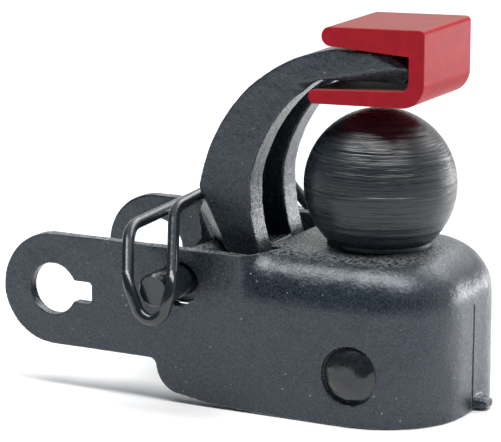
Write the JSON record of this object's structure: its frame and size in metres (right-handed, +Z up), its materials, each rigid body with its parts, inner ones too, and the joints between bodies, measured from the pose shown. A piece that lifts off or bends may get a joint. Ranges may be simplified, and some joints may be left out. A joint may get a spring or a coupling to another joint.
{
  "type": "towing ball hitch with hold-down hook",
  "caption": "Towing ball bolted on a pressed-steel housing with two drawbar ears, and a pivoting hold-down hook kept shut by a wire-bailed pin.",
  "frame": {"origin": "centre of the towing ball, on the housing's mid-plane", "axes": "+X forward to the closed nose, away from the drawbar ears; +Y across, towards the lock pin's head; +Z up through the top of the ball"},
  "size_m": [0.1594, 0.1061, 0.1263],
  "materials": {
    "black_paint": "satin black paint over pressed steel, slightly orange-peeled",
    "forged_black": "satin black paint over a rough forging",
    "turned_black": "thin black finish over fine turning marks",
    "wire_black": "smooth black coating on round wire",
    "rivet_black": "black paint over a hammered rivet head",
    "plated_steel": "dull zinc plating",
    "bush_bronze": "plain sintered bronze",
    "red_plastic": "moulded red plastic with a fine grain"
  },
  "bodies": {
    "housing": {"shell": "black_paint", "ball": "turned_black", "ball_washer": "plated_steel", "ball_spring_washer": "plated_steel", "ball_nut": "plated_steel", "front_rivet": "rivet_black", "rivet_washer": "rivet_black", "rivet_spacer": "plated_steel", "lock_pin": "wire_black", "near_spacer": "forged_black", "far_spacer": "forged_black"},
    "hook": {"hook": "forged_black", "hook_bush": "bush_bronze", "tip_cap": "red_plastic"},
    "bail": {"wire_bail": "wire_black"}
  },
  "joints": [
    {"name": "hook_swing", "type": "hinge", "parent": "housing", "child": "hook", "pos_m": [-0.0552, 0, -0.031], "axis": [0, -1, 0], "range_deg": [0, 40]},
    {"name": "bail_swing", "type": "hinge", "parent": "housing", "child": "bail", "pos_m": [-0.0552, 0.0435, -0.031], "axis": [-0.8387, 0, -0.5446], "range_deg": [0, 160]}
  ],
  "couplings": [
    {"joint": "bail_swing", "follows": "hook_swing", "ratio": 4}
  ]
}
